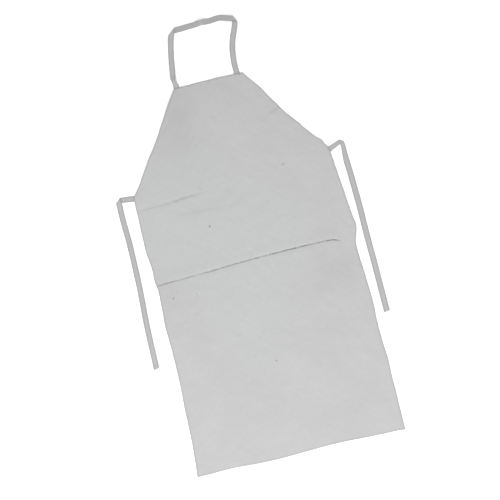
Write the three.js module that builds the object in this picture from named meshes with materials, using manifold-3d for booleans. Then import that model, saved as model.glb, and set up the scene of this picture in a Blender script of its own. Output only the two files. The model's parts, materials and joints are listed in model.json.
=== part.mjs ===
// Bib apron cut from one sheet of split leather, laid flat with its front face up.
// Millimetres, +Z up, +Y towards the bib, +X to the wearer's left as the apron faces the viewer.
// The outline is drawn with the middle of the bib's top edge at x = 0, y = 0, and the finished
// group is then moved so that its origin is the bottom centre of the whole object.

import * as THREE from 'three';
import { mergeVertices } from 'three/addons/utils/BufferGeometryUtils.js';
import Module from 'manifold-3d';

const wasm = await Module();
wasm.setup();

// ---------------------------------------------------------------- driving dimensions

const SHEET_THICKNESS = 1.6;
const STRAP_THICKNESS = 1.6;
const STRAP_WIDTH = 16;
const CLEARANCE = 0.3;

const BIB_TOP_WIDTH = 201;
const WAIST_WIDTH = 576;
const WAIST_DROP = 268;
const FOLD_DROP = 525;
const LEFT_HEM_DROP = 1080;
const RIGHT_HEM_DROP = 1094;

// How far each side stands outside the waist corner above it: at its fullest, at the fold, at the hem.
const LEFT_SIDE_FULL = 2;
const LEFT_SIDE_FOLD = -5;
const LEFT_SIDE_HEM = 14;
const RIGHT_SIDE_FULL = 18;
const RIGHT_SIDE_FOLD = 10;
const RIGHT_SIDE_HEM = 14;
const SIDE_FULL_ABOVE_FOLD = 30;
const SIDE_STEPS = 8;

// The sewn end of every strap lies under the sheet, and the sheet rises over it.
const SEWN_TAIL = 28;
const RISE_SLOPE = 4;

// Neck strap: how far inside each bib corner its middle crosses the bib's top edge, and the route of
// each upright from there to the corner where the strap is folded over, as [across, rise] points.
const NECK_LEFT_INSET = 9;
const NECK_RIGHT_INSET = 16;
const NECK_LEFT_ROUTE = [[0, 0], [-3, 25], [0, 46], [6, 92], [14, 136], [23, 163]];
const NECK_RIGHT_ROUTE = [[0, 0], [-1, 40], [4, 72], [14, 106], [26, 137], [25, 163]];
const NECK_RAMP = 16;
const STEPS_PER_POINT = 3;

// Waist ties: each leaves its waist corner outwards, is folded over once and runs down beside the skirt.
const LEFT_TIE = { side: -1, startDrop: 7, climb: 7.4, reach: 42, length: 488, endSkew: 3 };
const RIGHT_TIE = { side: 1, startDrop: 4, climb: 22, reach: 41, length: 504, endSkew: 1 };
// How far a free run wanders outwards from straight down, at each quarter of its length.
const LEFT_TIE_WANDER = [0, -1, 3, 6, 9.5];
const RIGHT_TIE_WANDER = [0, 2, 4, 6, 8];
const TIE_RAMP = 20;

// A box of lock stitches through the sheet and each sewn end.
const THREAD = 0.9;
const THREAD_PROUD = 0.5;
const STITCH_BOX_WIDTH = 10;
const STITCH_BOX_LENGTH = 20;

// ---------------------------------------------------------------- derived levels

const LOWER_LAYER = [0, STRAP_THICKNESS];
const UPPER_LAYER = [STRAP_THICKNESS + CLEARANCE, 2 * STRAP_THICKNESS + CLEARANCE];
const POCKET_TOP = STRAP_THICKNESS + CLEARANCE;
const RAISED_TOP = POCKET_TOP + SHEET_THICKNESS;
const HALF_CLEARANCE = CLEARANCE / 2;
const TALL = 40;
const LEFT_WAIST = new THREE.Vector2(-WAIST_WIDTH / 2, -WAIST_DROP);
const RIGHT_WAIST = new THREE.Vector2(WAIST_WIDTH / 2, -WAIST_DROP);

// ---------------------------------------------------------------- materials

const leather = { roughness: 0.72, metalness: 0 };
const frontLeather = new THREE.MeshStandardMaterial({ color: 0xc8cac8, ...leather });
const strapLeather = new THREE.MeshStandardMaterial({ color: 0xbbbbba, ...leather });
const thread = new THREE.MeshStandardMaterial({ color: 0xd2d0ca, roughness: 0.85, metalness: 0 });

// ---------------------------------------------------------------- solid helpers

function toSolid(geometry) {
  geometry.deleteAttribute('normal');
  geometry.deleteAttribute('uv');
  const merged = mergeVertices(geometry, 1e-4);
  const vertProperties = Float32Array.from(merged.attributes.position.array);
  const triVerts = Uint32Array.from(merged.index.array);
  return new wasm.Manifold(new wasm.Mesh({ numProp: 3, vertProperties, triVerts }));
}

function toGeometry(solid) {
  const { vertProperties, triVerts } = solid.getMesh();
  const geometry = new THREE.BufferGeometry();
  geometry.setAttribute('position', new THREE.BufferAttribute(vertProperties, 3));
  geometry.setIndex(new THREE.BufferAttribute(triVerts, 1));
  return geometry;
}

function toMesh(name, solid, material) {
  const geometry = toGeometry(solid);
  geometry.computeVertexNormals();
  const mesh = new THREE.Mesh(geometry, material.clone());
  mesh.name = name;
  return mesh;
}

// A plate with this outline seen from above, between two heights.
function plate(outline, [bottom, top]) {
  const geometry = new THREE.ExtrudeGeometry(new THREE.Shape(outline), {
    depth: top - bottom,
    bevelEnabled: false,
  });
  geometry.translate(0, 0, bottom);
  return toSolid(geometry);
}

// A solid with this outline seen from the side, as wide as it is tall: along = 'x' or 'y' is the
// direction of the outline's first coordinate, and its second is the height.
function sideProfile(outline, along, middle) {
  const geometry = new THREE.ExtrudeGeometry(new THREE.Shape(outline), {
    depth: 2 * TALL,
    bevelEnabled: false,
  });
  geometry.translate(0, 0, -TALL);
  const x = new THREE.Vector3(1, 0, 0);
  const y = new THREE.Vector3(0, 1, 0);
  const z = new THREE.Vector3(0, 0, 1);
  const turn = new THREE.Matrix4();
  if (along === 'x') turn.makeBasis(x, z, y.clone().negate());
  else turn.makeBasis(y, z, x);
  geometry.applyMatrix4(turn);
  geometry.translate(middle.x, middle.y, 0);
  return toSolid(geometry);
}

// The outline of a band that runs from one point to another, widened by grow and lengthened by extra.
function band(from, to, width, grow = 0, extra = 0) {
  const along = to.clone().sub(from).normalize();
  const across = new THREE.Vector2(-along.y, along.x).multiplyScalar(width / 2 + grow);
  const start = from.clone().addScaledVector(along, -grow);
  const end = to.clone().addScaledVector(along, grow + extra);
  return [
    start.clone().sub(across),
    end.clone().sub(across),
    end.clone().add(across),
    start.clone().add(across),
  ];
}

// The outline of a strap of even width along a line of points.
function ribbon(points, width) {
  const leftSide = [];
  const rightSide = [];
  points.forEach((point, i) => {
    const before = points[Math.max(i - 1, 0)];
    const after = points[Math.min(i + 1, points.length - 1)];
    const along = after.clone().sub(before).normalize();
    const across = new THREE.Vector2(-along.y, along.x).multiplyScalar(width / 2);
    leftSide.push(point.clone().add(across));
    rightSide.push(point.clone().sub(across));
  });
  return [...rightSide, ...leftSide.reverse()];
}

// A large block on the side of a fold line that the strap is on, for cutting a strap's end to the fold.
function keptSide(point, foldDirection, keptPoint) {
  const along = foldDirection.clone().multiplyScalar(TALL);
  const inward = new THREE.Vector2(-foldDirection.y, foldDirection.x);
  if (inward.dot(keptPoint.clone().sub(point)) < 0) inward.negate();
  const edge = point.clone().addScaledVector(inward, HALF_CLEARANCE);
  const far = edge.clone().addScaledVector(inward, 2 * WAIST_WIDTH);
  const wide = along.clone().multiplyScalar(WAIST_WIDTH / TALL);
  const outline = [
    edge.clone().sub(wide),
    edge.clone().add(wide),
    far.clone().add(wide),
    far.clone().sub(wide),
  ];
  if (THREE.ShapeUtils.area(outline) < 0) outline.reverse();
  return plate(outline, [-TALL, TALL]);
}

function foldDirection(incoming, outgoing) {
  return incoming.clone().add(outgoing).normalize();
}

// How far the lower layer at a fold reaches from the fold's middle along the upper layer.
function reachAlong(upperDirection, lowerDirection) {
  const fold = foldDirection(lowerDirection, upperDirection);
  const halfLength = STRAP_WIDTH / 2 / Math.abs(lowerDirection.cross(fold));
  return halfLength * Math.abs(fold.dot(upperDirection));
}

// ---------------------------------------------------------------- sewn ends

// Each sewn end: its inner end under the sheet, and the point where it comes out at the sheet's edge.
function sewnEnd(edgePoint, outward) {
  const direction = outward.clone().normalize();
  return { inner: edgePoint.clone().addScaledVector(direction, -SEWN_TAIL), edge: edgePoint, direction };
}

function tieDirection(tie) {
  const climb = THREE.MathUtils.degToRad(tie.climb);
  return new THREE.Vector2(tie.side * Math.cos(climb), Math.sin(climb));
}

function tieEnd(tie, waist) {
  const edgePoint = new THREE.Vector2(waist.x, waist.y - tie.startDrop);
  return sewnEnd(edgePoint, tieDirection(tie));
}

// The two uprights of the neck strap, as points from the bib's edge to the corners.
function neckUprights() {
  const half = BIB_TOP_WIDTH / 2;
  const follow = (footX, route) => route.map(([across, rise]) => new THREE.Vector2(footX + across, rise));
  return {
    left: follow(-half + NECK_LEFT_INSET, NECK_LEFT_ROUTE),
    right: follow(half - NECK_RIGHT_INSET, NECK_RIGHT_ROUTE),
  };
}

const neck = neckUprights();
const leftCorner = neck.left.at(-1);
const rightCorner = neck.right.at(-1);
const UP = new THREE.Vector2(0, 1);
const neckLeftEnd = sewnEnd(neck.left[0], UP);
const neckRightEnd = sewnEnd(neck.right[0], UP);
const leftTieEnd = tieEnd(LEFT_TIE, LEFT_WAIST);
const rightTieEnd = tieEnd(RIGHT_TIE, RIGHT_WAIST);
const sewnEnds = [neckLeftEnd, neckRightEnd, leftTieEnd, rightTieEnd];

function rectangle(length, width) {
  return [
    new THREE.Vector2(-length / 2, -width / 2),
    new THREE.Vector2(length / 2, -width / 2),
    new THREE.Vector2(length / 2, width / 2),
    new THREE.Vector2(-length / 2, width / 2),
  ];
}

// The thread of one box of stitches: a frame on the front, a frame underneath and four crossings.
// grow widens the thread all round, for cutting the room that it takes.
function stitchBox(end, grow) {
  const size = THREAD + 2 * grow;
  const low = HALF_CLEARANCE - grow;
  const high = RAISED_TOP + THREAD_PROUD + grow;
  const depth = THREAD_PROUD + 2 * grow;
  const outside = rectangle(STITCH_BOX_LENGTH + size, STITCH_BOX_WIDTH + size);
  const inside = rectangle(STITCH_BOX_LENGTH - size, STITCH_BOX_WIDTH - size);
  let solid = plate(outside, [low, low + depth]).add(plate(outside, [high - depth, high]));
  solid = solid.subtract(plate(inside, [-TALL, TALL]));
  for (const corner of rectangle(STITCH_BOX_LENGTH, STITCH_BOX_WIDTH)) {
    const crossing = rectangle(size, size).map((point) => point.add(corner));
    solid = solid.add(plate(crossing, [low, high]));
  }
  const centre = end.inner.clone().lerp(end.edge, 0.5);
  const geometry = toGeometry(solid);
  geometry.rotateZ(Math.atan2(end.direction.y, end.direction.x));
  geometry.translate(centre.x, centre.y, 0);
  return toSolid(geometry);
}

const stitchCuts = sewnEnds.map((end) => stitchBox(end, CLEARANCE));

// ---------------------------------------------------------------- the sheet

// One side of the sheet between the waist and the fold: full above the fold and drawn in at it.
function sideAboveFold(waist, sign, full, atFold) {
  const fullDrop = FOLD_DROP - SIDE_FULL_ABOVE_FOLD;
  return new THREE.SplineCurve([
    waist,
    new THREE.Vector2(waist.x + sign * full * 0.5, -(WAIST_DROP + fullDrop) / 2),
    new THREE.Vector2(waist.x + sign * full, -fullDrop),
    new THREE.Vector2(waist.x + sign * atFold, -FOLD_DROP),
  ]).getPoints(SIDE_STEPS);
}

function bibOutline() {
  const half = BIB_TOP_WIDTH / 2;
  const above = -FOLD_DROP + HALF_CLEARANCE;
  const left = sideAboveFold(LEFT_WAIST, -1, LEFT_SIDE_FULL, LEFT_SIDE_FOLD);
  const right = sideAboveFold(RIGHT_WAIST, 1, RIGHT_SIDE_FULL, RIGHT_SIDE_FOLD);
  left.at(-1).y = above;
  right.at(-1).y = above;
  return [new THREE.Vector2(half, 0), new THREE.Vector2(-half, 0), ...left, ...right.reverse()];
}

function skirtOutline() {
  const below = -FOLD_DROP - HALF_CLEARANCE;
  return [
    new THREE.Vector2(RIGHT_WAIST.x + RIGHT_SIDE_FOLD, below),
    new THREE.Vector2(LEFT_WAIST.x - LEFT_SIDE_FOLD, below),
    new THREE.Vector2(LEFT_WAIST.x - LEFT_SIDE_HEM, -LEFT_HEM_DROP),
    new THREE.Vector2(RIGHT_WAIST.x + RIGHT_SIDE_HEM, -RIGHT_HEM_DROP),
  ];
}

// The raised part of the sheet over one sewn end, with a slope all round.
function raisedOver(end) {
  const wall = SHEET_THICKNESS + CLEARANCE;
  const depth = SHEET_THICKNESS / 2;
  const shape = new THREE.Shape(band(end.inner, end.edge, STRAP_WIDTH, wall, TALL));
  const geometry = new THREE.ExtrudeGeometry(shape, {
    depth,
    bevelThickness: RAISED_TOP - SHEET_THICKNESS,
    bevelSize: RISE_SLOPE,
    bevelSegments: 1,
  });
  geometry.translate(0, 0, SHEET_THICKNESS - depth);
  return toSolid(geometry);
}

function bibPanel() {
  const outline = bibOutline();
  const column = plate(outline, [0, TALL]);
  let solid = plate(outline, [0, SHEET_THICKNESS]);
  for (const end of sewnEnds) solid = solid.add(raisedOver(end).intersect(column));
  for (const end of sewnEnds) {
    const pocket = band(end.inner, end.edge, STRAP_WIDTH, CLEARANCE, TALL);
    solid = solid.subtract(plate(pocket, [-TALL, POCKET_TOP]));
  }
  for (const cut of stitchCuts) solid = solid.subtract(cut);
  return solid;
}

// ---------------------------------------------------------------- neck strap

// A strap that lies on the ground between two raised ends, seen from the side.
function bridgeProfile(from, to, ramp) {
  const [lowBottom, lowTop] = LOWER_LAYER;
  const [highBottom, highTop] = UPPER_LAYER;
  const beyond = 2 * STRAP_WIDTH;
  return [
    new THREE.Vector2(from - beyond, highBottom),
    new THREE.Vector2(from, highBottom),
    new THREE.Vector2(from + ramp, lowBottom),
    new THREE.Vector2(to - ramp, lowBottom),
    new THREE.Vector2(to, highBottom),
    new THREE.Vector2(to + beyond, highBottom),
    new THREE.Vector2(to + beyond, highTop),
    new THREE.Vector2(to, highTop),
    new THREE.Vector2(to - ramp, lowTop),
    new THREE.Vector2(from + ramp, lowTop),
    new THREE.Vector2(from, highTop),
    new THREE.Vector2(from - beyond, highTop),
  ];
}

// A smooth line through the points of a route, carried on straight at both ends.
function extendedLine(route) {
  const points = new THREE.SplineCurve(route).getPoints(STEPS_PER_POINT * (route.length - 1));
  const before = points[0].clone().sub(points[1]).normalize();
  const after = points.at(-1).clone().sub(points.at(-2)).normalize();
  return [
    points[0].clone().addScaledVector(before, STRAP_WIDTH),
    ...points,
    points.at(-1).clone().addScaledVector(after, STRAP_WIDTH),
  ];
}

function lastDirection(route) {
  return route.at(-1).clone().sub(route.at(-2)).normalize();
}

function neckUpright(route, otherCorner) {
  const corner = route.at(-1);
  const outgoing = otherCorner.clone().sub(corner).normalize();
  const aboveBib = [
    new THREE.Vector2(-BIB_TOP_WIDTH, CLEARANCE),
    new THREE.Vector2(BIB_TOP_WIDTH, CLEARANCE),
    new THREE.Vector2(BIB_TOP_WIDTH, 2 * corner.y),
    new THREE.Vector2(-BIB_TOP_WIDTH, 2 * corner.y),
  ];
  return plate(ribbon(extendedLine(route), STRAP_WIDTH), LOWER_LAYER)
    .intersect(keptSide(corner, foldDirection(lastDirection(route), outgoing), route[0]))
    .intersect(plate(aboveBib, [-TALL, TALL]));
}

function neckTopRun() {
  const along = rightCorner.clone().sub(leftCorner).normalize();
  const from = leftCorner.clone().addScaledVector(along, -STRAP_WIDTH);
  const to = rightCorner.clone().addScaledVector(along, STRAP_WIDTH);
  const middle = leftCorner.clone().lerp(rightCorner, 0.5);
  const back = along.clone().negate();
  const leftUp = lastDirection(neck.left);
  const rightUp = lastDirection(neck.right);
  const leftFold = foldDirection(leftUp, along);
  const rightFold = foldDirection(rightUp, back);
  const profile = bridgeProfile(
    leftCorner.x - middle.x + reachAlong(along, leftUp) + 2 * CLEARANCE,
    rightCorner.x - middle.x - reachAlong(back, rightUp) - 2 * CLEARANCE,
    NECK_RAMP,
  );
  return plate(band(from, to, STRAP_WIDTH), [-TALL, TALL])
    .intersect(sideProfile(profile, 'x', middle))
    .intersect(keptSide(leftCorner, leftFold, middle))
    .intersect(keptSide(rightCorner, rightFold, middle));
}

function neckTail(end, index) {
  return plate(band(end.inner, end.edge, STRAP_WIDTH), LOWER_LAYER).subtract(stitchCuts[index]);
}

// ---------------------------------------------------------------- waist ties

function tieFoldPoint(tie, end) {
  return end.edge.clone().addScaledVector(end.direction, tie.reach);
}

const DOWN = new THREE.Vector2(0, -1);

function tieSewnEnd(tie, end, index) {
  const fold = tieFoldPoint(tie, end);
  const outline = band(end.inner, fold, STRAP_WIDTH, 0, STRAP_WIDTH);
  return plate(outline, LOWER_LAYER)
    .intersect(keptSide(fold, foldDirection(end.direction, DOWN), end.inner))
    .subtract(stitchCuts[index]);
}

// The free run's outline: a gently wandering line, with its far end cut a little askew.
function freeRunOutline(tie, fold, wander) {
  const quarter = tie.length / (wander.length - 1);
  const route = wander.map((out, i) => new THREE.Vector2(fold.x + tie.side * out, fold.y - i * quarter));
  const points = extendedLine(route).slice(0, -1);
  const outline = ribbon(points, STRAP_WIDTH);
  outline[points.length - 1].y += tie.endSkew;
  return outline;
}

// Lies over the sewn end at the fold and comes down to the ground below it.
function freeRunProfile(tie, end, fold) {
  const [lowBottom, lowTop] = LOWER_LAYER;
  const [highBottom, highTop] = UPPER_LAYER;
  const slope = Math.abs(end.direction.y / end.direction.x);
  const lowerEdge = (STRAP_WIDTH / 2) * (1 / Math.abs(end.direction.x) + slope);
  const rampStart = fold.y - lowerEdge - 2 * CLEARANCE;
  const rampEnd = rampStart - TIE_RAMP;
  const top = fold.y + 2 * STRAP_WIDTH;
  const bottom = fold.y - tie.length - 2 * STRAP_WIDTH;
  return [
    new THREE.Vector2(top, highBottom),
    new THREE.Vector2(top, highTop),
    new THREE.Vector2(rampStart, highTop),
    new THREE.Vector2(rampEnd, lowTop),
    new THREE.Vector2(bottom, lowTop),
    new THREE.Vector2(bottom, lowBottom),
    new THREE.Vector2(rampEnd, lowBottom),
    new THREE.Vector2(rampStart, highBottom),
  ];
}

function tieFreeRun(tie, end, wander) {
  const fold = tieFoldPoint(tie, end);
  const lowPoint = new THREE.Vector2(fold.x, fold.y - tie.length / 2);
  return plate(freeRunOutline(tie, fold, wander), [-TALL, TALL])
    .intersect(sideProfile(freeRunProfile(tie, end, fold), 'y', new THREE.Vector2(fold.x, 0)))
    .intersect(keptSide(fold, foldDirection(end.direction, DOWN), lowPoint));
}

// ---------------------------------------------------------------- assembly

const group = new THREE.Group();
group.add(toMesh('bib_panel', bibPanel(), frontLeather));
group.add(toMesh('skirt_panel', plate(skirtOutline(), [0, SHEET_THICKNESS]), frontLeather));
group.add(toMesh('neck_strap_left_tail', neckTail(neckLeftEnd, 0), strapLeather));
group.add(toMesh('neck_strap_right_tail', neckTail(neckRightEnd, 1), strapLeather));
group.add(toMesh('neck_strap_left_run', neckUpright(neck.left, rightCorner), strapLeather));
group.add(toMesh('neck_strap_top_run', neckTopRun(), strapLeather));
group.add(toMesh('neck_strap_right_run', neckUpright(neck.right, leftCorner), strapLeather));
group.add(toMesh('left_tie_sewn_end', tieSewnEnd(LEFT_TIE, leftTieEnd, 2), strapLeather));
group.add(toMesh('right_tie_sewn_end', tieSewnEnd(RIGHT_TIE, rightTieEnd, 3), strapLeather));
group.add(toMesh('left_tie_free_run', tieFreeRun(LEFT_TIE, leftTieEnd, LEFT_TIE_WANDER), strapLeather));
group.add(toMesh('right_tie_free_run', tieFreeRun(RIGHT_TIE, rightTieEnd, RIGHT_TIE_WANDER), strapLeather));

const stitchNames = ['bib_left', 'bib_right', 'waist_left', 'waist_right'];
stitchNames.forEach((place, i) => {
  group.add(toMesh(`${place}_stitching`, stitchBox(sewnEnds[i], 0), thread));
});

const bounds = new THREE.Box3().setFromObject(group);
const centre = bounds.getCenter(new THREE.Vector3());
group.position.set(-centre.x, -centre.y, -bounds.min.z);

export default group;
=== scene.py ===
"""A butcher's bib apron of pale split leather, laid flat, with its neck strap and two waist ties.

Metres throughout, in the part's own frame: +Y is towards the bib and +Z is up from the table.
"""

import json
import math

import bpy
import numpy as np
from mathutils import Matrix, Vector, noise


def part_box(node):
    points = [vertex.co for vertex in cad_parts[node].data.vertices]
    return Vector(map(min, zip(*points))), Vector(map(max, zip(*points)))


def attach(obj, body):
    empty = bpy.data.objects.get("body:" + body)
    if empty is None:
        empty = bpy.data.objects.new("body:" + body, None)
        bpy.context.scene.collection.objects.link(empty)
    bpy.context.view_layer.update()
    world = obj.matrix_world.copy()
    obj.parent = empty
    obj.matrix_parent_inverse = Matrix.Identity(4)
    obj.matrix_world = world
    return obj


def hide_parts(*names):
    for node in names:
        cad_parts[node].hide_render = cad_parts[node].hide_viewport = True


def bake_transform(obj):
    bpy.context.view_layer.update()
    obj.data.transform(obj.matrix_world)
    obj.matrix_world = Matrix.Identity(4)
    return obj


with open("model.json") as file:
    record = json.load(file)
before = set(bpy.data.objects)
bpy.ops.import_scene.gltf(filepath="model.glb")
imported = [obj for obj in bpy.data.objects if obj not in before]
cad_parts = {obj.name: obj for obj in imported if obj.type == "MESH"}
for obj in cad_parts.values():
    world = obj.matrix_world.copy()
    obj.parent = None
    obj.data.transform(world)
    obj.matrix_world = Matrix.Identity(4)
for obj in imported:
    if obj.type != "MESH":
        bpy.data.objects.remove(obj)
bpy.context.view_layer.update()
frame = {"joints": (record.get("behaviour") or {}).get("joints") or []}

MM = 0.001

# ------------------------------------------------------------------ sizes from the frame

tail_low, tail_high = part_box("neck_strap_left_tail")
STRAP_WIDTH = tail_high.x - tail_low.x
STRAP_THICKNESS = tail_high.z - tail_low.z
SEWN_TAIL = tail_high.y - tail_low.y
SHEET_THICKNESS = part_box("skirt_panel")[1].z
POCKET_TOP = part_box("bib_panel")[1].z - SHEET_THICKNESS
CLEARANCE = POCKET_TOP - STRAP_THICKNESS
BIB_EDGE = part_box("bib_panel")[1].y
FOLD_LINE = (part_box("bib_panel")[0].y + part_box("skirt_panel")[1].y) / 2
joints = {joint["name"]: joint for joint in frame["joints"]}


# ------------------------------------------------------------------ lines and grids


def smoothstep(x):
    x = np.clip(x, 0, 1)
    return x * x * (3 - 2 * x)


def bell(x, middle, width):
    """1 at the middle, falling away smoothly on both sides."""
    return np.exp(-(((x - middle) / width) ** 2))


def through(knots, values):
    """A smooth function that takes these values at these knots and stays level beyond them."""
    knots = np.array(knots, float)
    values = np.array(values, float)
    slopes = np.gradient(values, knots, axis=0)

    def at(x):
        x = np.clip(x, knots[0], knots[-1])
        i = np.clip(np.searchsorted(knots, x, side="right") - 1, 0, len(knots) - 2)
        step = knots[i + 1] - knots[i]
        t = (x - knots[i]) / step
        if values.ndim == 2:
            step, t = step[:, None], t[:, None]
        start = (1 + 2 * t) * (1 - t) ** 2 * values[i] + t * (1 - t) ** 2 * step * slopes[i]
        end = t * t * (3 - 2 * t) * values[i + 1] + t * t * (t - 1) * step * slopes[i + 1]
        return start + end

    return at


class Line:
    """A smooth line in plan through given points, measured by its own length."""

    def __init__(self, points):
        points = np.array(points, float)
        chords = np.linalg.norm(np.diff(points, axis=0), axis=1)
        knots = np.concatenate([[0], np.cumsum(chords)])
        fine = np.linspace(0, knots[-1], 40 * len(points))
        self.fine = through(knots, points)(fine)
        steps = np.linalg.norm(np.diff(self.fine, axis=0), axis=1)
        self.along = np.concatenate([[0], np.cumsum(steps)])
        self.length = self.along[-1]

    def inside(self, s):
        """The points at these distances, which lie between the line's ends."""
        return np.stack([np.interp(s, self.along, self.fine[:, k]) for k in (0, 1)], axis=-1)

    def at(self, s):
        """The points at these distances, carried on straight past both ends."""
        s = np.asarray(s, float)
        clipped = np.clip(s, 0, self.length)
        return self.inside(clipped) + (s - clipped)[..., None] * self.direction(clipped)

    def direction(self, s):
        """The line's direction at these distances, from a short chord around each."""
        reach = 1.5 * MM
        low, high = (self.inside(np.clip(s + step, 0, self.length)) for step in (-reach, reach))
        chord = high - low
        return chord / np.linalg.norm(chord, axis=-1, keepdims=True)

    def nearest(self, point):
        """The distance along the line of its point nearest to this one."""
        return self.along[np.argmin(np.linalg.norm(self.fine - np.asarray(point), axis=1))]


def spaced(length, coarse, fine, dense):
    """Distances from 0 to length, a coarse step apart, and a fine step apart near the dense places."""
    places = [0.0]
    while places[-1] < length:
        here = places[-1]
        near = min((max(abs(here - middle) - half, 0) for middle, half in dense), default=1)
        places.append(here + min(coarse, fine + 0.25 * near))
    places[-1] = length
    return np.array(places)


def across(width, columns, bevel):
    """Places across a strip, with one close to each side for its softened corner."""
    inner = np.linspace(-width / 2 + bevel, width / 2 - bevel, columns - 2)
    return np.concatenate([[-width / 2], inner, [width / 2]])


def put(name, data):
    """A new object in the scene."""
    thing = bpy.data.objects.new(name, data)
    bpy.context.scene.collection.objects.link(thing)
    return thing


def slab(name, top, bottom, materials, **facts):
    """A closed piece between two matching grids of points.

    facts are grids of numbers or vectors that the materials read, kept on its points.
    """
    rows, columns = top.shape[:2]
    upper = np.arange(rows * columns).reshape(rows, columns)
    lower = upper + rows * columns

    def quads(a, b, c, d):
        return np.stack([a, b, c, d], axis=-1).reshape(-1, 4)

    front = quads(upper[:-1, :-1], upper[:-1, 1:], upper[1:, 1:], upper[1:, :-1])
    back = quads(lower[:-1, :-1], lower[1:, :-1], lower[1:, 1:], lower[:-1, 1:])
    sides = [
        quads(upper[0, 1:], upper[0, :-1], lower[0, :-1], lower[0, 1:]),
        quads(upper[-1, :-1], upper[-1, 1:], lower[-1, 1:], lower[-1, :-1]),
        quads(upper[:-1, 0], upper[1:, 0], lower[1:, 0], lower[:-1, 0]),
        quads(upper[1:, -1], upper[:-1, -1], lower[:-1, -1], lower[1:, -1]),
    ]
    faces = np.concatenate([front, back, *sides])
    points = np.concatenate([top.reshape(-1, 3), bottom.reshape(-1, 3)])
    corner = points[faces]
    turned = np.cross(corner[:, 1], corner[:, 2]) + np.cross(corner[:, 2], corner[:, 3])
    # A negative volume means that the faces look inwards.
    if (corner[:, 0] * turned).sum() < 0:
        faces = faces[:, ::-1]
    mesh = bpy.data.meshes.new(name)
    mesh.from_pydata(points.tolist(), [], faces.tolist())
    kinds = np.full(len(faces), 2, np.int32)
    kinds[: len(front)] = 0
    kinds[len(front) : len(front) + len(back)] = 1
    mesh.polygons.foreach_set("material_index", kinds)
    mesh.polygons.foreach_set("use_smooth", np.ones(len(faces), bool))
    mesh.set_sharp_from_angle(angle=math.radians(50))
    for fact, grid in facts.items():
        kind, field = ("FLOAT_VECTOR", "vector") if grid.ndim == 3 else ("FLOAT", "value")
        attribute = mesh.attributes.new(fact, kind, "POINT")
        flat = grid.reshape(rows * columns, -1)
        attribute.data.foreach_set(field, np.concatenate([flat, flat]).astype(np.float32).ravel())
    for material in materials:
        mesh.materials.append(material)
    return put(name, mesh)


def ripple(x, y, seed, size):
    """Smooth noise from -1 to 1, one value for each pair of places, with waves about size across."""
    values = [noise.noise((a / size, b / size, seed)) for a, b in zip(np.ravel(x), np.ravel(y))]
    return np.array(values).reshape(np.shape(x))


def sway(x, seed, size):
    """Smooth noise from -1 to 1 along one line."""
    return ripple(x, x * 0, seed, size)


def raised(plan, height):
    """Points in plan, lifted to this height or to each its own."""
    z = np.broadcast_to(height, plan.shape[:-1])
    return np.concatenate([plan, z[..., None]], axis=-1)


# ------------------------------------------------------------------ camera

APRON_LEAN = math.radians(14)
PICTURE_WIDTH = 1.420
PICTURE_CENTRE = (0.0019, -0.0347)
LENS, SENSOR = 85, 36


def make_camera():
    data = bpy.data.cameras.new("Camera")
    data.lens = LENS
    data.sensor_width = SENSOR
    data.clip_end = 20
    camera = put("Camera", data)
    camera.location = (*PICTURE_CENTRE, PICTURE_WIDTH * LENS / SENSOR)
    camera.rotation_euler = (0, 0, -APRON_LEAN)
    bpy.context.scene.camera = camera


make_camera()

# ------------------------------------------------------------------ leather


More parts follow.
